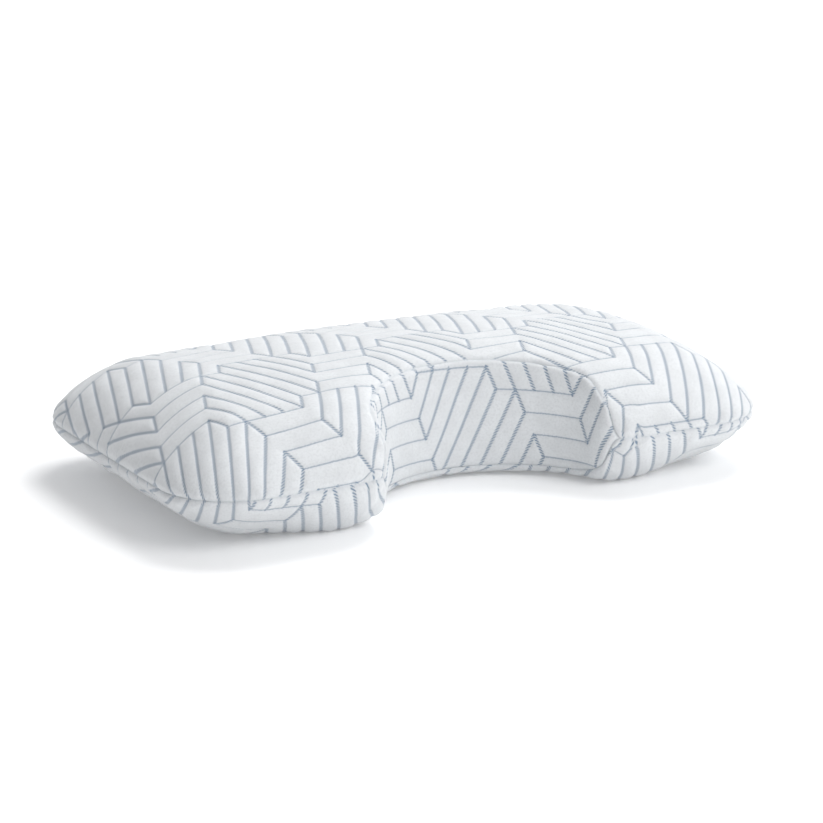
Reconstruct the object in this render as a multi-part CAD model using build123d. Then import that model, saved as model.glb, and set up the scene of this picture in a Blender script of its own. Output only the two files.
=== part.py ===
from build123d import *
import os
from math import sqrt, atan2, cos, sin, degrees, radians

# Contoured side-sleeper pillow: a foam core in a quilted knitted cover.
# +X is the width, the shoulder cut-out opens towards -Y, +Z is up.
# The origin is on the floor, under the centre of the pillow's outline.  Millimetres.

# ---- driving dimensions ----
WIDTH = 600.0
DEPTH = 360.0
HEIGHT = 118.0
SEAM_Z = 50.0              # height of the seam that joins the top and bottom panels
SHOULDER_Z = 109.0         # height at which the rounded edge meets the crowned top
EDGE_W = 71.0              # width of the rounded edge in plan, also the corner radius
CROWN_IN = 9.0             # flat strip between the rounded edge and the crown
CUT_R = 122.0              # radius of the shoulder cut-out
TIP_R = 32.0               # radius of the two lobe tips beside it
TIP_X = 148.0              # where each lobe's front edge starts to turn into the cut-out
ROLL_Z = 15.0              # lower gusset seam, above the bottom panel's turned-up edge

# ---- cover ----
KNIT_T = 1.0
WADDING_T = 3.0
THREAD_T = 0.8
COVER_T = KNIT_T + WADDING_T

# ---- zip, in the straight back seam ----
CLEAR = 0.4                # running clearance of the slider on its rows
ZIP_INSET = 20.0           # from the rounded corners to the ends of the zip's channel
ZIP_CHANNEL_H = 18.0
ZIP_CHANNEL_D = 11.0
GUARD_T = 0.8
TAPE_T = 0.8
ROW_T = 1.5
ROW_H = 2.2
ROW_GAP = 1.2              # between the two rows, for the slider's post
ROW_INSET = 19.0           # from the channel's ends to the rows of teeth
TOOTH_PITCH = 2.5
TOOTH_DEPTH = 0.7
PLATE_T = 0.8
SLIDER_L = 12.0
STOP_GAP = 2.0             # between the slider and an end stop at each end of its travel
FLANGE_T = 1.0
POST_L = 4.0
POST_T = ROW_GAP - 2 * 0.3
PIN_R = 0.5
EYE_CLEAR = 0.08
EYE_R = 1.3
EYE_L = 3.4
LUG_T = 1.0
PULL_L = 21.0
PULL_W = 6.0
PULL_T = 1.0
STOP_L = 3.0

# ---- derived ----
BACK_Y = DEPTH / 2
TOP_R = (EDGE_W**2 + (SHOULDER_Z - SEAM_Z) ** 2) / (2 * (SHOULDER_Z - SEAM_Z))
BOTTOM_R = (EDGE_W**2 + SEAM_Z**2) / (2 * SEAM_Z)
TOP_CZ = SHOULDER_Z - TOP_R          # height of the upper edge arc's centre
BOTTOM_CZ = BOTTOM_R                 # height of the lower edge arc's centre
INNER_X = WIDTH / 2 - EDGE_W         # half sizes of the crowned middle
INNER_Y = DEPTH / 2 - EDGE_W
CROWN = HEIGHT - SHOULDER_Z
ZIP_HALF = INNER_X - ZIP_INSET       # half length of the zip's channel
ROW_HALF = ZIP_HALF - ROW_INSET      # half length of the rows of teeth
SLIDER_TRAVEL = 2 * (ROW_HALF - SLIDER_L / 2 - STOP_GAP)
CROWN_X = INNER_X - CROWN_IN         # half sizes of the crown where it meets the flat
CROWN_Y = INNER_Y - CROWN_IN
CROWN_RX = (CROWN_X**2 + CROWN**2) / (2 * CROWN)
CROWN_RY = (CROWN_Y**2 + CROWN**2) / (2 * CROWN)
TIP_Y = -BACK_Y + TIP_R
CUT_Y = TIP_Y - sqrt((CUT_R + TIP_R) ** 2 - TIP_X**2)     # centre of the cut-out's arc
ROW_IN = ROW_GAP / 2
ROW_OUT = ROW_IN + ROW_H

GUARD_Y = BACK_Y - ZIP_CHANNEL_D
INNER_PLATE_Y = GUARD_Y + GUARD_T + 0.6
TAPE_Y = INNER_PLATE_Y + PLATE_T + CLEAR
ROW_Y = TAPE_Y + TAPE_T
OUTER_PLATE_Y = ROW_Y + ROW_T + CLEAR
PIN_Y = OUTER_PLATE_Y + PLATE_T + CLEAR + EYE_R


def box(x0, x1, y0, y1, z0, z1):
    """A block between the stated faces."""
    mid = ((x0 + x1) / 2, (y0 + y1) / 2, (z0 + z1) / 2)
    return Pos(*mid) * Box(x1 - x0, y1 - y0, z1 - z0)


def edge_profile(inset):
    """Half section of the rounded edge, from the corner's axis (x = 0) out to the seam."""
    rt = TOP_R - inset
    rb = BOTTOM_R - inset
    seam_z = (rt**2 - rb**2 + BOTTOM_CZ**2 - TOP_CZ**2) / (2 * (BOTTOM_CZ - TOP_CZ))
    seam_x = sqrt(rt**2 - (seam_z - TOP_CZ) ** 2)
    a_top = (atan2(seam_z - TOP_CZ, seam_x) + radians(90)) / 2
    a_low = (atan2(seam_z - BOTTOM_CZ, seam_x) - radians(90)) / 2
    top = (0, TOP_CZ + rt)
    low = (0, BOTTOM_CZ - rb)
    seam = (seam_x, seam_z)
    top_mid = (rt * cos(a_top), TOP_CZ + rt * sin(a_top))
    low_mid = (rb * cos(a_low), BOTTOM_CZ + rb * sin(a_low))
    arcs = [
        ThreePointArc(top, top_mid, seam),
        ThreePointArc(seam, low_mid, low),
        Line(low, top),
    ]
    return make_face(Plane.XZ * Wire(arcs))


def crown(inset):
    """The gentle dome on top, curved both ways, moved down by inset."""
    reach = CROWN_Y + CROWN_IN / 2
    radius = CROWN_RY - inset
    rim_z = HEIGHT - CROWN_RY + sqrt(radius**2 - reach**2)
    floor_z = SHOULDER_Z - 20
    section = [
        ThreePointArc((-reach, rim_z), (0, HEIGHT - inset), (reach, rim_z)),
        Line((reach, rim_z), (reach, floor_z)),
        Line((reach, floor_z), (-reach, floor_z)),
        Line((-reach, floor_z), (-reach, rim_z)),
    ]
    swing = degrees(atan2(CROWN_X + CROWN_IN / 2, CROWN_RX))
    axis = Axis((0, 0, HEIGHT - CROWN_RX), (0, 1, 0))
    face = Plane.YZ * make_face(Wire(section))
    return revolve(face.rotate(axis, -swing), axis, 2 * swing)


def slab(inset):
    """The pillow before its shoulder cut-out, each face moved inwards by inset."""
    profile = edge_profile(inset)
    low = profile.bounding_box().min.Z
    top = profile.bounding_box().max.Z
    pieces = [crown(inset)]
    for sx, sy, turn in ((1, 1, 0), (-1, 1, 90), (-1, -1, 180), (1, -1, 270)):
        corner = Rot(0, 0, turn) * revolve(profile, Axis.Z, 90)
        pieces.append(Pos(sx * INNER_X, sy * INNER_Y, 0) * corner)
    side = extrude(profile, INNER_Y, both=True)
    front = extrude(profile, INNER_X, both=True)
    for turn in (0, 180):
        pieces.append(Rot(0, 0, turn) * Pos(INNER_X, 0, 0) * side)
        pieces.append(Rot(0, 0, turn + 90) * Pos(INNER_Y, 0, 0) * front)
    middle = box(-INNER_X, INNER_X, -INNER_Y, INNER_Y, low, top)
    return middle.fuse(*pieces)


def cutter(inset):
    """The shoulder cut-out's prism, each of its walls moved into the pillow by inset."""
    ang = atan2(TIP_Y - CUT_Y, TIP_X)
    tip_r = TIP_R - inset
    cut_r = CUT_R + inset
    joint = (cut_r * cos(ang), CUT_Y + cut_r * sin(ang))
    a_mid = (radians(-90) + ang - radians(180)) / 2
    tip_mid = (TIP_X + tip_r * cos(a_mid), TIP_Y + tip_r * sin(a_mid))
    front = TIP_Y - tip_r
    far = -BACK_Y - 60
    left = [(-x, y) for x, y in (joint, tip_mid)]
    lines = [
        ThreePointArc((TIP_X, front), tip_mid, joint),
        ThreePointArc(joint, (0, CUT_Y + cut_r), left[0]),
        ThreePointArc(left[0], left[1], (-TIP_X, front)),
        Line((-TIP_X, front), (-TIP_X, far)),
        Line((-TIP_X, far), (TIP_X, far)),
        Line((TIP_X, far), (TIP_X, front)),
    ]
    return extrude(make_face(Wire(lines)), HEIGHT + 20)


def band(z0, z1):
    """Everything between two heights."""
    return box(-WIDTH, WIDTH, -DEPTH, DEPTH, z0, z1)


def one(shape):
    """A boolean result as a plain shape: its only solid, or a compound of its solids."""
    solids = [s for s in shape.solids() if s.volume > 0.5]
    return solids[0] if len(solids) == 1 else Compound(children=solids)


# ---- nested shapes of the pillow, from the outside in ----
SLAB = {i: slab(i) for i in (0, KNIT_T, KNIT_T + THREAD_T, COVER_T)}
CUT = {i: cutter(i) for i in SLAB}
upper = band(SEAM_Z, HEIGHT + 10)
lower = band(-10, SEAM_Z)
above_roll = band(ROLL_Z, HEIGHT + 10)
below_roll = band(-10, ROLL_Z)
channel = box(-ZIP_HALF, ZIP_HALF, GUARD_Y, BACK_Y + 5,
              SEAM_Z - ZIP_CHANNEL_H / 2, SEAM_Z + ZIP_CHANNEL_H / 2)
knit_in = SLAB[KNIT_T] - CUT[KNIT_T]
cover_in = SLAB[COVER_T] - CUT[COVER_T]

parts = {}

# ---- foam core ----
parts["foam_core"] = cover_in - channel

def cover_layer(outer, inner):
    """One layer of the cover between two insets, as its gusset, top and bottom panels."""
    wall = SLAB[outer] & (CUT[inner] - CUT[outer])
    skin = SLAB[outer] - SLAB[inner]
    top = (skin & upper) - CUT[inner] - channel
    low = ((skin & lower) - CUT[inner] - channel) + (wall & below_roll)
    return wall & above_roll, top, low


# ---- face knit: gusset, top panel, bottom panel ----
parts["gusset_knit"], parts["top_panel_knit"], parts["bottom_panel_knit"] = cover_layer(0, KNIT_T)

# ---- seam threads, just under the knit ----
thread_in = SLAB[KNIT_T + THREAD_T]
thread_zone = knit_in - (thread_in - CUT[KNIT_T + THREAD_T])
wall_strip = (CUT[KNIT_T + THREAD_T] - CUT[KNIT_T]) & SLAB[KNIT_T]
outer_strip = SLAB[KNIT_T] - thread_in
stitch = band(SEAM_Z - THREAD_T / 2, SEAM_Z + THREAD_T / 2)
rim = wall_strip & outer_strip & band(SEAM_Z + THREAD_T, HEIGHT + 10)
parts["rim_seam_thread"] = rim
low_line = wall_strip & band(ROLL_Z, ROLL_Z + THREAD_T)
low_rise = wall_strip & outer_strip & band(ROLL_Z, SEAM_Z - THREAD_T)
parts["lower_gusset_seam_thread"] = low_line + low_rise
parts["perimeter_seam_thread"] = (outer_strip & stitch) - CUT[KNIT_T + THREAD_T] - channel
threads = [parts[n] for n in ("rim_seam_thread", "lower_gusset_seam_thread", "perimeter_seam_thread")]

# ---- wadding quilted to each panel, clear of the threads ----
for name, wadding in zip(("gusset", "top_panel", "bottom_panel"), cover_layer(KNIT_T, COVER_T)):
    for thread in threads:
        wadding = wadding - thread
    parts[f"{name}_wadding"] = wadding

# ---- zip: guard, tapes, rows of teeth, end stops ----
parts["zip_guard"] = box(-ZIP_HALF, ZIP_HALF, GUARD_Y, GUARD_Y + GUARD_T,
                         SEAM_Z - ZIP_CHANNEL_H / 2, SEAM_Z + ZIP_CHANNEL_H / 2)


def zip_side(side):
    """The tape and the row of teeth on one side of the zip's middle line, side = 1 or -1."""
    z0, z1 = sorted((SEAM_Z + side * ROW_IN, SEAM_Z + side * ZIP_CHANNEL_H / 2))
    tape = box(-ZIP_HALF, ZIP_HALF, TAPE_Y, TAPE_Y + TAPE_T, z0, z1)
    points = [(-ROW_HALF, ROW_OUT)]
    count = int(2 * ROW_HALF / TOOTH_PITCH)
    for k in range(count):
        x = -ROW_HALF + k * TOOTH_PITCH
        points += [(x, ROW_IN), (x + 0.55 * TOOTH_PITCH, ROW_IN)]
        points += [(x + 0.65 * TOOTH_PITCH, ROW_IN + TOOTH_DEPTH)]
        points += [(x + 0.9 * TOOTH_PITCH, ROW_IN + TOOTH_DEPTH)]
    points += [(ROW_HALF, ROW_IN + TOOTH_DEPTH), (ROW_HALF, ROW_OUT)]
    outline = [(x, side * z) for x, z in points]
    row = extrude(make_face(Polyline(*outline, close=True)), ROW_T)
    row = Rot(90, 0, 0) * row
    return tape, Pos(0, ROW_Y + ROW_T, SEAM_Z) * row


parts["zip_tape_upper"], parts["zip_row_upper"] = zip_side(1)
parts["zip_tape_lower"], parts["zip_row_lower"] = zip_side(-1)
stops = [
    box(x, x + STOP_L, ROW_Y, ROW_Y + ROW_T, SEAM_Z - ROW_OUT, SEAM_Z + ROW_OUT)
    for x in (-ROW_HALF - STOP_L, ROW_HALF)
]
parts["zip_end_stops"] = Compound(children=stops)

# ---- zip slider, at the closed end, and its pull ----
slider_x = SLIDER_TRAVEL / 2
x0, x1 = slider_x - SLIDER_L / 2, slider_x + SLIDER_L / 2
flange_in = ROW_OUT + CLEAR
plate_half = flange_in + FLANGE_T
slider = box(x0, x1, OUTER_PLATE_Y, OUTER_PLATE_Y + PLATE_T, SEAM_Z - plate_half, SEAM_Z + plate_half)
slider += box(x0, x1, INNER_PLATE_Y, INNER_PLATE_Y + PLATE_T, SEAM_Z - plate_half, SEAM_Z + plate_half)
slider += box(slider_x - POST_L / 2, slider_x + POST_L / 2, INNER_PLATE_Y, OUTER_PLATE_Y + PLATE_T,
              SEAM_Z - POST_T / 2, SEAM_Z + POST_T / 2)
for side in (1, -1):
    near, far = sorted((SEAM_Z + side * flange_in, SEAM_Z + side * plate_half))
    slider += box(x0, x1, ROW_Y + CLEAR, OUTER_PLATE_Y, near, far)
    near, far = sorted((SEAM_Z + side * (EYE_L / 2 + 0.3), SEAM_Z + side * (EYE_L / 2 + 0.3 + LUG_T)))
    lug = box(slider_x - EYE_R, slider_x + EYE_R, OUTER_PLATE_Y, PIN_Y + 0.3, near, far)
    lug += Pos(slider_x, PIN_Y, (near + far) / 2) * Cylinder(EYE_R, far - near)
    slider += lug
slider += Pos(slider_x, PIN_Y, SEAM_Z) * Cylinder(PIN_R, EYE_L + 1.0)
parts["zip_slider"] = slider

pull = Pos(slider_x, PIN_Y, SEAM_Z) * Cylinder(EYE_R, EYE_L)
tab_y = PIN_Y - EYE_R + 0.1
neck = box(slider_x - 6, slider_x, tab_y, tab_y + PULL_T, SEAM_Z - EYE_L / 2, SEAM_Z + EYE_L / 2)
grip = Pos(slider_x - 3 - PULL_L / 2, tab_y + PULL_T / 2, SEAM_Z) * Box(PULL_L - 6, PULL_T, PULL_W)
grip = fillet(grip.edges().filter_by(Axis.Y), PULL_W / 4)
hole = Pos(slider_x, PIN_Y, SEAM_Z) * Cylinder(PIN_R + EYE_CLEAR, EYE_L + 2)
parts["zip_pull"] = pull + neck + grip - hole

if __name__ == "__main__":
    os.makedirs("parts", exist_ok=True)
    for name, shape in parts.items():
        export_step(one(shape), f"parts/{name}.step")
        print(name, round(one(shape).volume), "mm3")
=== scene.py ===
import math

import bpy
import numpy as np
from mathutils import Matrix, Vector


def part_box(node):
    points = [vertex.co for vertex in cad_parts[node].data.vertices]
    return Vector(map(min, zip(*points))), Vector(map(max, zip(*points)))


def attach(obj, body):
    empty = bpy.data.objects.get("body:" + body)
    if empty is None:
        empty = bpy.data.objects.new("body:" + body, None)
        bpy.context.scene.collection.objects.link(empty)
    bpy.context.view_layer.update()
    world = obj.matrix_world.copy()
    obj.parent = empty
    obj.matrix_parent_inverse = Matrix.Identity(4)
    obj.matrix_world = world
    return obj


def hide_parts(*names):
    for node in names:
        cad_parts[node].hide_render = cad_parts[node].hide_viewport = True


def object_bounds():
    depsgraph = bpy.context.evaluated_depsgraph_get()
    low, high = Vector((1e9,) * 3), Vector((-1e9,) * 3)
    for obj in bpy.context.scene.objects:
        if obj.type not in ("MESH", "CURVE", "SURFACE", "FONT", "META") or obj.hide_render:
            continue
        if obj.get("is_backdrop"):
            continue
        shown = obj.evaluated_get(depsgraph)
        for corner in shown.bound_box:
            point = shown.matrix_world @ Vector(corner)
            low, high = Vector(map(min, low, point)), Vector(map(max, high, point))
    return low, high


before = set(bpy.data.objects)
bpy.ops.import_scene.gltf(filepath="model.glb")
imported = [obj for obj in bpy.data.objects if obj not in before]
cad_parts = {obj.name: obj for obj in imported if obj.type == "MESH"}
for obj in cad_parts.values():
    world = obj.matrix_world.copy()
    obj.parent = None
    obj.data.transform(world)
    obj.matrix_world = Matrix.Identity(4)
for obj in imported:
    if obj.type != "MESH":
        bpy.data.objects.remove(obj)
cad_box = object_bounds()

# Contoured side-sleeper pillow.  Shapes are worked out in millimetres and written in metres.
MM = 0.001


def mm_box(node):
    low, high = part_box(node)
    return np.array(low) / MM, np.array(high) / MM


# ---- sizes, from the CAD frame ----
top_low, top_high = mm_box("top_panel_knit")
tape_low, tape_high = mm_box("zip_tape_upper")
guard_low, guard_high = mm_box("zip_guard")
WIDTH, DEPTH = top_high[0] - top_low[0], top_high[1] - top_low[1]
DOME = 3.0                    # loft of the wadding over the frame's top
HEIGHT = top_high[2] + DOME
SEAM_Z = top_low[2]
EDGE_W = 71.0
HALF = np.array([WIDTH / 2 - EDGE_W, DEPTH / 2 - EDGE_W])
CROWN_X, CROWN_Y = 10.0, 27.0     # fall of the dome from its middle to the sides and to the ends

# shoulder cut-out: one large arc and two lobe tips
CUT_R, TIP_R = 122.0, 32.0
TIP_X = mm_box("gusset_knit")[1][0]
TIP_C = np.array([TIP_X, -DEPTH / 2 + TIP_R])
CUT_C = np.array([0.0, TIP_C[1] - math.sqrt((CUT_R + TIP_R) ** 2 - TIP_X**2)])
CUT_ANG = math.atan2(TIP_C[1] - CUT_C[1], TIP_X)
RIM_SHARE = 0.86             # height of the cut-out's rim over the seam, as a share of the top's
RIM_IN, RIM_H = 3.0, 5.0      # the gusset turns in over the rim by this much
NOSE_OUT = 6.0                # swell of the lobes' noses
TUCK = 4.0                    # cloth of the gusset hidden behind its seams
LOW_SEAM_Z = 12.0             # seam under the gusset

# the zip's slot in the back seam
ZIP_HALF = tape_high[0]
SLOT_TOP = guard_high[2]
SLOT_LOW = guard_low[2]

# rounded edges: width of each rounding and the power of its curve
TOP_EDGE, TOP_POWER = 78.0, 1.64
LOW_EDGE, LOW_POWER = 67.0, 1.52
NOSE_SPREAD = 45.0
RISE_START, RISE_LENGTH = 26.0, 52.0      # along the wall, where the gusset opens

# quilting lattice on the cloth: pitch, row height, and mesh steps in each
QUILT_A, QUILT_H = 17.96, 20.6
FINE = 10
PUFF, GUSSET_PUFF = 1.5, 1.3              # height of the puffs between the lines
PUFF_REACH = 8.5                          # from a line to a puff's full height
SEAM_REACH = 6.5                          # from a seam to a puff's full height
FLAT_SINK, DEEP_SINK = 0.7, 1.4           # depth of a seam, and the extra of the perimeter seam
PUCKER, PUCKER_FADE, PUCKER_SCALE = 0.5, 7.0, 12
FLOOR_GAP = 0.3


# =============================================================== shape of the pillow
TIP_SWEEP = math.pi / 2 - CUT_ANG
TIP_LEN = TIP_R * TIP_SWEEP
WALL_LEN = TIP_LEN + CUT_R * (math.pi / 2 - CUT_ANG)


def arch(q, n):
    q = np.clip(q, 0, 1)
    return (1 - (1 - q) ** n) ** (1 / n)


def smooth(q):
    q = np.clip(q, 0, 1)
    return q * q * (3 - 2 * q)


def edge_parts(p):
    """Depth inside the outline before the cut-out, the way out to it, and the reach past the flat middle."""
    q = np.abs(p) - HALF
    out = np.maximum(q, 0)
    r = np.hypot(out[:, 0], out[:, 1])
    depth = np.where(r > 0, EDGE_W - r, EDGE_W - np.maximum(q[:, 0], q[:, 1]))
    way = np.sign(p) * out / np.maximum(r, 1e-9)[:, None]
    return depth, way, r


def cut_parts(p):
    """Distance into the pillow from the cut-out's wall, the way into the pillow, and the length along
    the wall from the lobe's front to its nearest point."""
    side = np.where(p[:, 0] < 0, -1.0, 1.0)
    q = np.stack([np.abs(p[:, 0]), p[:, 1]], 1)
    v, t = q - CUT_C, q - TIP_C
    rho = np.maximum(np.hypot(v[:, 0], v[:, 1]), 1e-9)
    tau = np.maximum(np.hypot(t[:, 0], t[:, 1]), 1e-9)
    ang = np.arctan2(v[:, 1], v[:, 0])
    on_arc = ang >= CUT_ANG
    on_tip = ~on_arc & (q[:, 0] < TIP_X)
    beyond = np.where(t[:, 1] > 0, -1.0, 1.0)
    out = t / tau[:, None] * beyond[:, None]
    sweep = np.clip(-math.pi / 2 - np.arctan2(out[:, 1], out[:, 0]), 0, TIP_SWEEP)
    dist = np.where(on_arc, rho - CUT_R, np.where(on_tip, TIP_R - beyond * tau, 1e3))
    way = np.where(on_arc[:, None], v / rho[:, None], -out)
    along = np.where(on_arc, TIP_LEN + CUT_R * (ang - CUT_ANG), np.where(on_tip, TIP_R * sweep, 0.0))
    way[:, 0] *= side
    return dist + fullness(along), way, along


def fullness(u):
    """How far the lobe's nose swells past its drawn outline."""
    return NOSE_OUT * np.sin(math.pi * np.clip((u - 4) / 66, 0, 1)) ** 2


def wall_point(u):
    """Plan point of the right half of the cut-out's wall at each length from the lobe's front, and
    the way from it into the pillow."""
    phi = -math.pi / 2 - np.minimum(u, TIP_LEN) / TIP_R
    tip_out = np.stack([np.cos(phi), np.sin(phi)], 1)
    ang = CUT_ANG + np.maximum(u - TIP_LEN, 0) / CUT_R
    arc_in = np.stack([np.cos(ang), np.sin(ang)], 1)
    on_tip = (u < TIP_LEN)[:, None]
    point = np.where(on_tip, TIP_C + TIP_R * tip_out, CUT_C + CUT_R * arc_in)
    way = np.where(on_tip, -tip_out, arc_in)
    return point - way * fullness(u)[:, None], way


def rise(u):
    """How far the wall has opened out of the perimeter seam: 0 at the lobe's front, 1 round the arc."""
    t = np.clip((u - RISE_START) / RISE_LENGTH, 0, 1)
    return np.sqrt(1 - (1 - t) ** 2) * smooth(t / 0.3)


def near_nose(p, spread=NOSE_SPREAD):
    """1 in front of the lobes' noses, falling to 0 away from them."""
    return np.exp(-(((np.abs(p[:, 0]) - TIP_X) / spread) ** 2)) * smooth((20 - p[:, 1]) / 80)


def slab_top(p):
    dist, _, u = cut_parts(p)
    outer = arch(edge_parts(p)[0] / (TOP_EDGE - 18.0 * near_nose(p)), TOP_POWER)
    share = RIM_SHARE * rise(u)
    along = smooth(u / 40)
    inner = share + (1 - share) * arch(dist / (60.0 - 22.0 * along), TOP_POWER + 0.2 * along)
    crown = HEIGHT - CROWN_X * (2 * p[:, 0] / WIDTH) ** 2 - CROWN_Y * (2 * p[:, 1] / DEPTH) ** 2
    return SEAM_Z + (crown - SEAM_Z) * np.minimum(outer, inner)


def slab_low(p):
    dist, _, u = cut_parts(p)
    side = smooth((np.abs(p[:, 0]) - 180) / 90)
    outer = arch(edge_parts(p)[0] / (LOW_EDGE - 25.0 * near_nose(p) + 20.0 * side), LOW_POWER)
    g = rise(u)
    share = (1 - LOW_SEAM_Z / SEAM_Z) * g
    inner = share + (1 - share) * arch(dist / 42.0, LOW_POWER + 0.4 * g)
    return SEAM_Z * (1 - np.minimum(outer, inner))


def edge_table(surface):
    """Cloth length from the rounded edge's inner line out to each depth."""
    d = np.linspace(0, 1, 800) ** 2 * EDGE_W
    z = surface(np.stack([0 * d, DEPTH / 2 - d], 1))
    steps = np.hypot(np.diff(d), np.diff(z))
    return d, np.concatenate([np.cumsum(steps[::-1])[::-1], [0]])


class Panel:
    """Maps flat cloth to the pillow.  sign is +1 for the top panel and -1 for the bottom one."""

    REACH = 30.0                    # the wall's rounding is unrolled within this distance of it

    def __init__(self, sign):
        self.sign = sign
        self.surface = slab_top if sign > 0 else slab_low
        self.d, self.length = edge_table(self.surface)
        slot_z = SLOT_TOP if sign > 0 else SLOT_LOW
        zs = self.surface(np.stack([0 * self.d, DEPTH / 2 - self.d], 1))
        order = np.argsort(zs)
        self.slot_len = self.length[0] - np.interp(slot_z, zs[order], self.length[order])
        self.wall_tables()

    def rim(self, u):
        return RIM_IN * rise(u) if self.sign > 0 else 0 * u

    def wall_tables(self):
        self.u = np.linspace(0, WALL_LEN, 100)
        dist = np.linspace(0, 1, 200) ** 2 * self.REACH
        foot, way = wall_point(self.u)
        p = foot[:, None] + way[:, None] * dist[None, :, None]
        z = self.surface(p.reshape(-1, 2)).reshape(len(self.u), -1)
        steps = np.hypot(np.diff(dist)[None], np.diff(z, axis=1))
        run = np.concatenate([np.zeros((len(self.u), 1)), np.cumsum(steps, axis=1)], axis=1)
        extra = (run[:, -1:] - run) - (self.REACH - dist)[None]
        cloth = dist[None] - smooth(self.u / TIP_LEN)[:, None] * extra
        self.grid = np.linspace(-60, self.REACH, 400)
        self.dist_at, self.run_at, self.end = [], [], []
        for u, c, r in zip(self.u, cloth, run):
            rim = self.rim(np.array([u]))[0]
            d = np.maximum(np.interp(self.grid, c, dist), rim)
            self.dist_at.append(d)
            self.run_at.append(np.interp(d, dist, r) - np.interp(rim, dist, r))
            self.end.append(np.interp(rim, dist, c))
        self.dist_at, self.run_at, self.end = map(np.array, (self.dist_at, self.run_at, self.end))

    def lookup(self, table, u, c):
        i = np.clip(u / WALL_LEN * (len(self.u) - 1), 0, len(self.u) - 1.001)
        j = np.clip((c - self.grid[0]) / (self.grid[1] - self.grid[0]), 0, len(self.grid) - 1.001)
        i0, j0 = i.astype(int), j.astype(int)
        fi, fj = i - i0, j - j0
        low = table[i0, j0] * (1 - fj) + table[i0, j0 + 1] * fj
        high = table[i0 + 1, j0] * (1 - fj) + table[i0 + 1, j0 + 1] * fj
        return low * (1 - fi) + high * fi

    def limit(self, f):
        """Cloth length at which the panel ends: the seam, or the zip's slot along the back."""
        along = smooth((ZIP_HALF - np.abs(f[:, 0])) / 5)
        return self.length[0] - np.where(f[:, 1] > 0, along, 0) * self.slot_len

    def place(self, f):
        _, way, r = edge_parts(f)
        limit = self.limit(f)
        over = r - limit
        mouth = (np.abs(f[:, 0]) < TIP_X) & (f[:, 1] < 0)
        d = np.interp(np.minimum(r, limit), self.length[::-1], self.d[::-1])
        d = d - np.where(mouth, np.maximum(over, 0), 0)
        p = np.where((r > 0)[:, None], f - way * (r - (EDGE_W - d))[:, None], f)
        dist, into, u = cut_parts(p)
        near = dist < self.REACH
        dist_p = np.where(near, self.lookup(self.dist_at, u, dist), dist)
        run = np.where(near, self.lookup(self.run_at, u, dist), 1e3)
        past = np.interp(u, self.u, self.end) - dist
        p = p + into * (dist_p - dist)[:, None]
        seam = np.minimum(np.where(mouth, 1e3, -over), np.where(past < 0, run, -past))
        return np.column_stack([p, self.surface(p)]), seam


# =============================================================== quilting pattern
def quilt_lines():
    """One repeat of the quilting, 9 line pitches wide and 10 rows high: a leaning block of parallel
    lines with steps of short rows beside it, and the same block mirrored half a repeat on."""
    block = []
    tops = [(k / 2, k) for k in range(-4, 1)] + [(1, 0)] + [(k + 0.5, 1) for k in range(1, 6)]
    ends = [-5, -5, -5, -5, -5, -4, -4, -3, -2, -1, 0]
    for (x, r), end in zip(tops, ends):
        block.append(((x, r), (x + (r - end) / 2, end)))
    for k in range(5):
        block.append(((6 - k / 2, -k), (9 - k / 2, -k)))
    block += [((0, 0), (1, 0)), ((1.5, 1), (5.5, 1)), ((3, -4), (4, -4)), ((-1.5, -5), (2.5, -5))]
    rises = [((-0.5, -1), (0, 0)), ((-1.5, -3), (-1, -2)), ((1, 0), (1.5, 1))]
    block += rises + [((4 - a[0], -4 - a[1]), (4 - b[0], -4 - b[1])) for a, b in rises]
    mirrored = [((8.5 - a[0], a[1] + 5), (8.5 - b[0], b[1] + 5)) for a, b in block]
    return np.array(block + mirrored, float)


LINES = quilt_lines()


class Lattice:
    """Where the quilting lies on a piece of cloth."""

    def __init__(self, origin, lean=0.0, skew=0.0, pitch=QUILT_A, row=QUILT_H):
        self.o = np.array(origin, float)
        self.basis = np.array([[pitch, lean * pitch], [skew * row, row]])
        self.inverse = np.linalg.inv(self.basis)

    def cloth(self, x, r):
        return self.o + np.column_stack([x, r]) @ self.basis

    def distances(self, f):
        """Distance of each cloth point from the nearest rising, falling and level line."""
        g = (f - self.o) @ self.inverse
        g = np.column_stack([g[:, 0] % 9, g[:, 1] % 10])
        pts = g @ self.basis
        found = []
        step = LINES[:, 1] - LINES[:, 0]
        for lean in (1, -1, 0):
            kind = np.sign(step[:, 0] * step[:, 1]) == lean
            segs = []
            for sx in (-9, 0, 9):
                for sr in (-10, 0, 10):
                    s = LINES[kind] + np.array([sx, sr])
                    near = (s[..., 0].max(1) > -1) & (s[..., 0].min(1) < 10)
                    near &= (s[..., 1].max(1) > -1) & (s[..., 1].min(1) < 11)
                    segs.append(s[near])
            segs = np.concatenate(segs) @ self.basis
            best = np.full(len(pts), 1e9)
            for a, b in segs:
                ab = b - a
                k = np.clip(((pts - a) @ ab) / (ab @ ab), 0, 1)
                best = np.minimum(best, np.hypot(*(pts - a - k[:, None] * ab).T))
            found.append(best)
        return found


def waves(f, seed, scale, count=14):
    """A smooth repeatable unevenness of about unit size."""
    rng = np.random.default_rng(seed)
    total = np.zeros(len(f))
    for _ in range(count):
        ang, phase = rng.uniform(0, 2 * math.pi, 2)
        k = 2 * math.pi / (scale * rng.uniform(0.7, 1.6))
        total += np.sin(f[:, 0] * k * math.cos(ang) + f[:, 1] * k * math.sin(ang) + phase)
    return total / math.sqrt(count)


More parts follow.
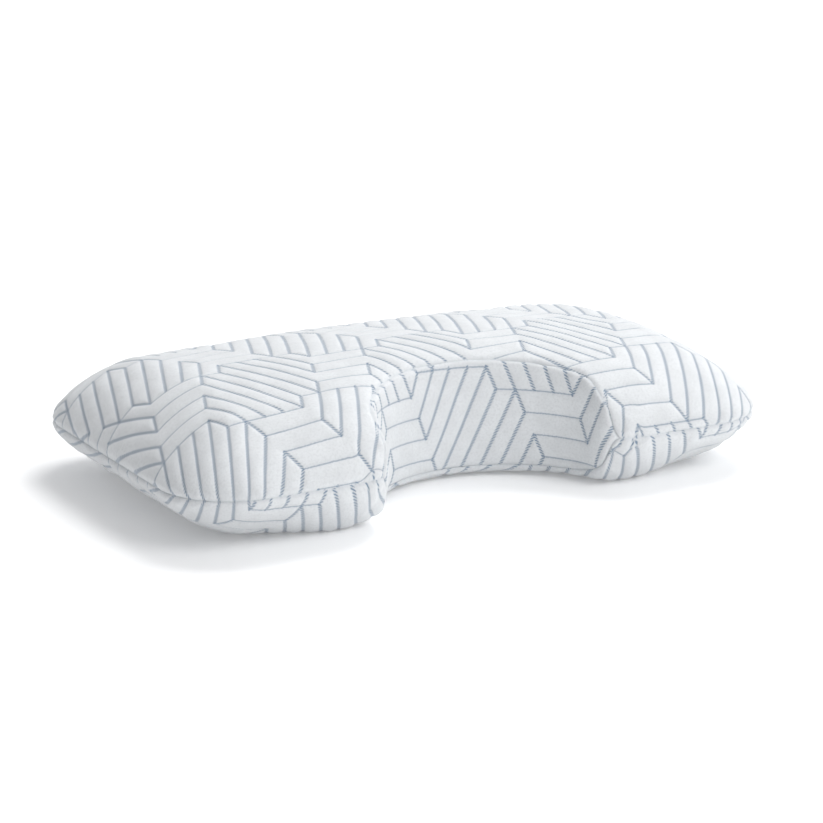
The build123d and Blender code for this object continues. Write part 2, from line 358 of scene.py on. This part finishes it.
# =============================================================== cloth meshes
def lattice_mesh(lattice, place, span, tuck=0.0):
    """A quilted cloth mesh whose edges follow the quilting lines."""
    corners = np.array([[x, y] for x in (-span[0], span[0]) for y in (-span[1], span[1])], float)
    g = (corners - lattice.o) @ lattice.inverse
    j0, j1 = int(g[:, 1].min() * FINE) - 2, int(g[:, 1].max() * FINE) + 2
    w = g[:, 0] - g[:, 1] / 2
    i0, i1 = int(w.min() * FINE) - 2, int(w.max() * FINE) + 2
    jj, ii = np.meshgrid(np.arange(j0, j1 + 1), np.arange(i0, i1 + 1), indexing="ij")
    f = lattice.cloth((ii.ravel() + jj.ravel() / 2) / FINE, jj.ravel() / FINE)
    co, seam = place(f)
    wide = i1 - i0 + 1
    base = (np.arange(j1 - j0)[:, None] * wide + np.arange(wide - 1)[None, :]).ravel()
    tris = np.concatenate([
        np.stack([base, base + 1, base + wide], 1),
        np.stack([base + 1, base + wide + 1, base + wide], 1),
    ])
    inside = seam > -tuck
    tris = tris[inside[tris].any(1)]
    used, tris = np.unique(tris, return_inverse=True)
    tris = tris.reshape(-1, 3)
    return f[used], co[used], np.maximum(seam[used], 0), tris


def vertex_normals(co, tris):
    a, b, c = co[tris[:, 0]], co[tris[:, 1]], co[tris[:, 2]]
    n = np.cross(b - a, c - a)
    total = np.zeros_like(co)
    for k in range(3):
        np.add.at(total, tris[:, k], n)
    return total / np.maximum(np.linalg.norm(total, axis=1), 1e-12)[:, None]


def make_mesh(name, co, faces, attributes=None, uv=None):
    mesh = bpy.data.meshes.new(name)
    mesh.from_pydata((np.asarray(co) * MM).tolist(), [], np.asarray(faces).tolist())
    for key, values in (attributes or {}).items():
        layer = mesh.attributes.new(key, "FLOAT", "POINT")
        layer.data.foreach_set("value", np.asarray(values, np.float32))
    if uv is not None:
        layer = mesh.uv_layers.new(name="cloth")
        index = np.zeros(len(mesh.loops), np.int32)
        mesh.loops.foreach_get("vertex_index", index)
        layer.data.foreach_set("uv", (np.asarray(uv)[index] * MM).astype(np.float32).ravel())
    mesh.polygons.foreach_set("use_smooth", [True] * len(mesh.polygons))
    mesh.update()
    obj = bpy.data.objects.new(name, mesh)
    bpy.context.scene.collection.objects.link(obj)
    return obj


def quilt(co, tris, f, seam, lattice, seed, puff=PUFF):
    """Raises the cloth between its quilting lines and draws it in at its seams."""
    lines = lattice.distances(f)
    near = np.minimum.reduce(lines)
    q = np.clip(near / PUFF_REACH, 0, 1)
    swell = puff * (1 - (1 - q) ** 2.2) ** 0.75
    swell *= 1 + 0.18 * waves(f, seed, 45)
    swell += 0.35 * waves(f, seed + 1, 70) + 0.10 * waves(f, seed + 2, 11) * q
    edge = np.clip(seam / SEAM_REACH, 0, 1)
    edge = 1 - (1 - edge) ** 2.2
    cut, _, u = cut_parts(co[:, :2])
    # the gusset's own seams lie flatter than the perimeter seam
    away = np.maximum(smooth(cut / 18.0), 1 - smooth((u - 8) / 16))
    swell = swell * edge - (FLAT_SINK + DEEP_SINK * away) * (1 - edge)
    pucker = np.exp(-seam / PUCKER_FADE) * np.clip(seam / 1.5, 0, 1) * (0.2 + 0.8 * away)
    swell += PUCKER * pucker * waves(f, seed + 3, PUCKER_SCALE)
    data = dict(zip(("rising", "falling", "level"), lines), seam=seam)
    return co + vertex_normals(co, tris) * swell[:, None], data


def quilted_panel(name, sign, lattice, seed):
    """The top or bottom panel's cloth, with its lip drawn in to the zip's tape."""
    panel = Panel(sign)
    reach = HALF + panel.length[0] + 6
    f, co, seam, tris = lattice_mesh(lattice, panel.place, reach)
    if sign < 0:
        tris = tris[:, ::-1]
    co, data = quilt(co, tris, f, seam, lattice, seed)
    if sign < 0:
        co[:, 2] = np.maximum(co[:, 2], FLOOR_GAP)
    lip = (f[:, 1] > 0) & (np.abs(f[:, 0]) < ZIP_HALF) & (seam <= 0)
    co[lip, 1] = tape_low[1] + 0.1
    return make_mesh(name, co, tris, data, f)


def place_gusset(f):
    """Maps the gusset's flat cloth, its length across and its height, to the cut-out's wall."""
    u = WALL_LEN - np.abs(f[:, 0])
    side = np.where(f[:, 0] < 0, -1.0, 1.0)
    foot, into = wall_point(np.maximum(u, 0))
    g = rise(u)
    high = slab_top(foot + into * (RIM_IN * g)[:, None])
    low = slab_low(foot)
    turn, turn_len = RIM_H * g, (RIM_H + 1.2) * g
    top = high - turn + turn_len
    seam = np.minimum(top - f[:, 1], f[:, 1] - low)
    over = np.clip(-seam, 0, TUCK)
    z = np.clip(f[:, 1], low, np.maximum(top, low))
    ang = np.clip((z - (high - turn)) / np.maximum(turn_len, 1e-6), 0, 1) * math.pi / 2
    v = np.clip((z - low) / np.maximum(top - low, 1e-6), 0, 1)
    bulge = 2.5 * np.sin(math.pi * v) * g
    depth = RIM_IN * g * (1 - np.cos(ang)) - bulge
    z = np.where(ang > 0, high - turn + turn * np.sin(ang), z)
    z = z + np.where(f[:, 1] > (top + low) / 2, 0.7, -0.7) * over
    p = foot + into * (depth + 0.8 * over)[:, None]
    p[:, 0] *= side
    seam = np.where(u < 0, u - TUCK, seam)
    return np.column_stack([p, z]), seam


def gusset():
    lattice = Lattice((-84.7, -14.9), lean=-0.03)
    f, co, seam, tris = lattice_mesh(lattice, place_gusset, (WALL_LEN + 4, HEIGHT), TUCK)
    co, data = quilt(co, tris, f, seam, lattice, 31, puff=GUSSET_PUFF)
    return make_mesh("gusset_cover", co, tris, data, f)


# =============================================================== materials
def nodes_of(material):
    material.use_nodes = True
    tree = material.node_tree
    tree.nodes.clear()
    out = tree.nodes.new("ShaderNodeOutputMaterial")
    shader = tree.nodes.new("ShaderNodeBsdfPrincipled")
    tree.links.new(shader.outputs[0], out.inputs[0])
    return tree, shader


def add(tree, kind, inputs=None, **settings):
    node = tree.nodes.new(kind)
    for key, value in settings.items():
        setattr(node, key, value)
    for key, value in (inputs or {}).items():
        socket = node.inputs[key]
        if isinstance(value, bpy.types.NodeSocket):
            tree.links.new(value, socket)
        else:
            socket.default_value = value
    return node


def math_node(tree, operation, a, b=None):
    inputs = {0: a} if b is None else {0: a, 1: b}
    return add(tree, "ShaderNodeMath", inputs, operation=operation).outputs[0]


def noise_fac(tree, vector, scale, **more):
    inputs = {"Vector": vector, "Scale": scale} | more
    return add(tree, "ShaderNodeTexNoise", inputs).outputs["Fac"]


def ramp(tree, value, low, high, out_low, out_high):
    node = add(tree, "ShaderNodeMapRange", {0: value, 1: low, 2: high, 3: out_low, 4: out_high},
               interpolation_type="SMOOTHSTEP")
    return node.outputs[0]


def mix_colour(tree, factor, a, b):
    node = add(tree, "ShaderNodeMix", data_type="RGBA")
    for index, value in ((0, factor), (6, a), (7, b)):
        if isinstance(value, bpy.types.NodeSocket):
            tree.links.new(value, node.inputs[index])
        elif index == 0:
            node.inputs[0].default_value = value
        else:
            node.inputs[index].default_value = (*value, 1)
    return node.outputs[2]


def quilt_material(name, white, line):
    """Knitted cloth with stitched lines and painted shade along its lines and seams, from the distances
    stored on the mesh.
    """
    material = bpy.data.materials.new(name)
    tree, shader = nodes_of(material)
    uv = add(tree, "ShaderNodeUVMap", uv_map="cloth").outputs[0]
    cloth = add(tree, "ShaderNodeVectorMath", {0: uv, 3: 1000.0}, operation="SCALE").outputs[0]
    parts = add(tree, "ShaderNodeSeparateXYZ", {0: cloth}).outputs
    rising, falling, level, seam = (
        add(tree, "ShaderNodeAttribute", attribute_name=key).outputs["Fac"]
        for key in ("rising", "falling", "level", "seam")
    )
    fuzz = noise_fac(tree, cloth, 0.9, Detail=2.0)
    wobble = ramp(tree, fuzz, 0.3, 0.7, -0.35, 0.35)

    def rope(near, slope):
        """A dense row of short slanting stitches along a leaning line."""
        across = math_node(tree, "MULTIPLY", parts[0], slope)
        turn = math_node(tree, "ADD", math_node(tree, "MULTIPLY", parts[1], 2.7), across)
        stitch = ramp(tree, math_node(tree, "SINE", turn), -0.4, 0.5, 0.05, 1.0)
        wide = ramp(tree, math_node(tree, "ADD", near, wobble), 1.2, 2.0, 1.0, 0.0)
        core = ramp(tree, near, 0.1, 0.9, 0.3, 0.0)
        return math_node(tree, "MAXIMUM", math_node(tree, "MULTIPLY", wide, stitch), core)

    thin = ramp(tree, math_node(tree, "ADD", level, wobble), 0.2, 0.9, 1.0, 0.0)
    thin = math_node(tree, "MULTIPLY", thin, 0.7)
    ropes = math_node(tree, "MAXIMUM", rope(rising, -1.2), rope(falling, 1.2))
    mask = math_node(tree, "MAXIMUM", ropes, thin)
    blotch = noise_fac(tree, cloth, 0.05, Detail=3.0)
    plain = mix_colour(tree, ramp(tree, blotch, 0.3, 0.7, 0, 1), white, tuple(c * 0.935 for c in white))
    heather = noise_fac(tree, cloth, 0.42, Detail=5.0, Roughness=0.7)
    plain = mix_colour(tree, ramp(tree, heather, 0.42, 0.7, 0.0, 0.6), plain, tuple(c * 0.80 for c in white))
    # painted shade: within 3 mm of every quilting line and seam the cloth is darkened a little towards the
    # line colour, standing in for the shade in the grooves
    nearest = math_node(tree, "MINIMUM", math_node(tree, "MINIMUM", rising, falling), level)
    nearest = math_node(tree, "MINIMUM", nearest, seam)
    painted_groove_shade = ramp(tree, nearest, 0.0, 3.0, 0.22, 0.0)
    plain = mix_colour(tree, painted_groove_shade, plain, tuple(0.5 * (a + b) for a, b in zip(white, line)))
    colour = mix_colour(tree, mask, plain, line)
    tree.links.new(colour, shader.inputs["Base Color"])
    # knit: fine ribs crossed by rows of loops
    rib = math_node(tree, "SINE", math_node(tree, "MULTIPLY", parts[0], 7.5))
    loop = math_node(tree, "SINE", math_node(tree, "MULTIPLY", parts[1], 9.5))
    knit = math_node(tree, "MULTIPLY", rib, loop)
    grain = noise_fac(tree, cloth, 0.8, Detail=4.0)
    height = math_node(tree, "MULTIPLY", knit, 0.10)
    height = math_node(tree, "ADD", height, math_node(tree, "MULTIPLY", grain, 0.8))
    height = math_node(tree, "SUBTRACT", height, math_node(tree, "MULTIPLY", mask, 0.5))
    bump = add(tree, "ShaderNodeBump", {"Strength": 0.5, "Distance": 0.0006, "Height": height}).outputs[0]
    tree.links.new(bump, shader.inputs["Normal"])
    tree.links.new(ramp(tree, grain, 0.3, 0.7, 0.78, 0.92), shader.inputs["Roughness"])
    shader.inputs["Sheen Weight"].default_value = 0.25
    shader.inputs["Sheen Roughness"].default_value = 0.5
    return material


def speckled(name, colour, dark, scale, roughness=0.7, metallic=0.0, bump=0.0002):
    """A plain material with fine grain, for tapes, thread, plastic and enamel."""
    material = bpy.data.materials.new(name)
    tree, shader = nodes_of(material)
    place = add(tree, "ShaderNodeTexCoord").outputs["Object"]
    noise = noise_fac(tree, place, scale, Detail=4.0)
    tree.links.new(mix_colour(tree, noise, colour, dark), shader.inputs["Base Color"])
    uneven = ramp(tree, noise, 0.3, 0.7, roughness - 0.08, roughness + 0.08)
    tree.links.new(uneven, shader.inputs["Roughness"])
    shader.inputs["Metallic"].default_value = metallic
    lift = add(tree, "ShaderNodeBump", {"Strength": 0.4, "Distance": bump, "Height": noise}).outputs[0]
    tree.links.new(lift, shader.inputs["Normal"])
    return material


def dress(obj, material):
    obj.data.materials.clear()
    obj.data.materials.append(material)


knit = quilt_material("quilted_knit", (0.71, 0.728, 0.742), (0.2, 0.265, 0.35))
foam_mat = speckled("foam", (0.86, 0.82, 0.70), (0.80, 0.75, 0.62), 900.0, 0.9)
tape_mat = speckled("woven_tape", (0.80, 0.82, 0.84), (0.68, 0.71, 0.74), 1500.0, 0.85)
coil_mat = speckled("nylon", (0.74, 0.77, 0.80), (0.64, 0.67, 0.70), 900.0, 0.45)
metal_mat = speckled("enamel", (0.70, 0.72, 0.74), (0.60, 0.62, 0.65), 500.0, 0.35, 0.4)

# =============================================================== cover
top = quilted_panel("top_cover", 1, Lattice((-54.7, -15.5), lean=0.02, skew=-0.02), 11)
low = quilted_panel("bottom_cover", -1, Lattice((-277.0, -209.5), pitch=17.0), 21)
wall = gusset()
for piece, replaced in (
    (top, ("top_panel_knit", "top_panel_wadding", "rim_seam_thread", "perimeter_seam_thread")),
    (low, ("bottom_panel_knit", "bottom_panel_wadding", "lower_gusset_seam_thread")),
    (wall, ("gusset_knit", "gusset_wadding")),
):
    dress(piece, knit)
    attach(piece, "pillow")
    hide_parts(*replaced)


# =============================================================== foam core, inside the cover
def core_mesh(inset=7.0, step=8.0):
    """A closed block under both panels, its top and bottom joined round the rim."""
    x = np.arange(-WIDTH / 2, WIDTH / 2 + step, step)
    y = np.arange(-DEPTH / 2, DEPTH / 2 + step, step)
    gy, gx = np.meshgrid(y, x, indexing="ij")
    p = np.column_stack([gx.ravel(), gy.ravel()])
    ok = (edge_parts(p)[0] > inset + 6) & (cut_parts(p)[0] > inset + 3) & (p[:, 1] < guard_low[1] - 2)
    high = slab_top(p) - inset
    lowz = slab_low(p) + inset
    n = len(p)
    cells = np.arange(n).reshape(gy.shape)
    a, b, c, d = cells[:-1, :-1], cells[:-1, 1:], cells[1:, 1:], cells[1:, :-1]
    faces = np.stack([a.ravel(), b.ravel(), c.ravel(), d.ravel()], 1)
    faces = faces[ok[faces].all(1)]
    quads = faces.tolist()
    edges = dict.fromkeys((q[k], q[(k + 1) % 4]) for q in quads for k in range(4))
    rim = [edge for edge in edges if edge[::-1] not in edges]
    quads += [[v + n for v in q[::-1]] for q in quads]
    quads += [[end, start, start + n, end + n] for start, end in rim]
    co = np.concatenate([np.column_stack([p, high]), np.column_stack([p, lowz])])
    used, idx = np.unique(np.array(quads), return_inverse=True)
    return make_mesh("foam_block", co[used], idx.reshape(-1, 4))


core = core_mesh()
dress(core, foam_mat)
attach(core, "pillow")
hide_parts("foam_core")

for node, material in (
    ("zip_guard", tape_mat), ("zip_tape_upper", tape_mat), ("zip_tape_lower", tape_mat),
    ("zip_row_upper", coil_mat), ("zip_row_lower", coil_mat), ("zip_end_stops", coil_mat),
    ("zip_slider", metal_mat), ("zip_pull", metal_mat),
):
    dress(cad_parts[node], material)


# =============================================================== studio
def area_light(name, place, size, power, aim=(0, 0, 0.05)):
    data = bpy.data.lights.new(name, "AREA")
    data.shape = "RECTANGLE"
    data.size, data.size_y = size
    data.energy = power
    obj = bpy.data.objects.new(name, data)
    bpy.context.scene.collection.objects.link(obj)
    obj.location = place
    obj.rotation_euler = (Vector(aim) - Vector(place)).to_track_quat("-Z", "Y").to_euler()
    return obj


FLOOR = 6000.0
corners = [(x * FLOOR, y * FLOOR, 0) for x, y in ((-1, -1), (1, -1), (1, 1), (-1, 1))]
floor = make_mesh("floor", corners, [[0, 1, 2, 3]])
floor_mat = bpy.data.materials.new("floor")
floor_tree, floor_shader = nodes_of(floor_mat)
floor_shader.inputs["Base Color"].default_value = (0.93, 0.93, 0.93, 1)
floor_shader.inputs["Roughness"].default_value = 0.9
floor_shader.inputs["Emission Color"].default_value = (1, 1, 1, 1)
spot = add(floor_tree, "ShaderNodeTexCoord").outputs["Object"]
reach = add(floor_tree, "ShaderNodeVectorMath", {0: spot}, operation="LENGTH")
glow = ramp(floor_tree, reach.outputs["Value"], 0.35, 1.3, 0.14, 0.75)
floor_tree.links.new(glow, floor_shader.inputs["Emission Strength"])
dress(floor, floor_mat)
floor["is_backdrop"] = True

world = bpy.data.worlds.new("studio")
bpy.context.scene.world = world
world.use_nodes = True
sky = world.node_tree.nodes["Background"]
sky.inputs[0].default_value = (0.97, 0.98, 1.0, 1)
sky_tree = world.node_tree
way = add(sky_tree, "ShaderNodeSeparateXYZ", {0: add(sky_tree, "ShaderNodeTexCoord").outputs["Generated"]})
sky_tree.links.new(ramp(sky_tree, way.outputs[0], -0.9, 0.9, 0.36, 0.85), sky.inputs[1])
area_light("key", (1.0, 0.8, 2.2), (1.3, 1.3), 38)
area_light("fill", (0.9, -2.2, 1.9), (1.6, 1.4), 30)
bpy.context.scene.view_settings.view_transform = "Standard"

# =============================================================== camera
azimuth, elevation, distance = math.radians(-29.77), math.radians(15.24), 2.248
flat = math.cos(elevation)
back = Vector((math.sin(azimuth) * flat, -math.cos(azimuth) * flat, math.sin(elevation)))
IMAGE, FOCAL, CENTRE = 823, 2425.33, (405.8, 406.7)
AIM_HEIGHT = 0.055
camera_data = bpy.data.cameras.new("camera")
camera_data.sensor_width = 36.0
camera_data.lens = FOCAL / IMAGE * camera_data.sensor_width
camera_data.shift_x = (IMAGE / 2 - CENTRE[0]) / IMAGE
camera_data.shift_y = (CENTRE[1] - IMAGE / 2) / IMAGE
camera = bpy.data.objects.new("camera", camera_data)
bpy.context.scene.collection.objects.link(camera)
camera.location = back * distance + Vector((0, 0, AIM_HEIGHT))
camera.rotation_euler = (-back).to_track_quat("-Z", "Y").to_euler()
bpy.context.scene.camera = camera

# =============================================================== sizes, then the last line
visual_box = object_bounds()


def plain(value):
    return [plain(v) for v in value] if hasattr(value, "__len__") else float(value)


{"cad": plain(cad_box), "visual": plain(visual_box)}
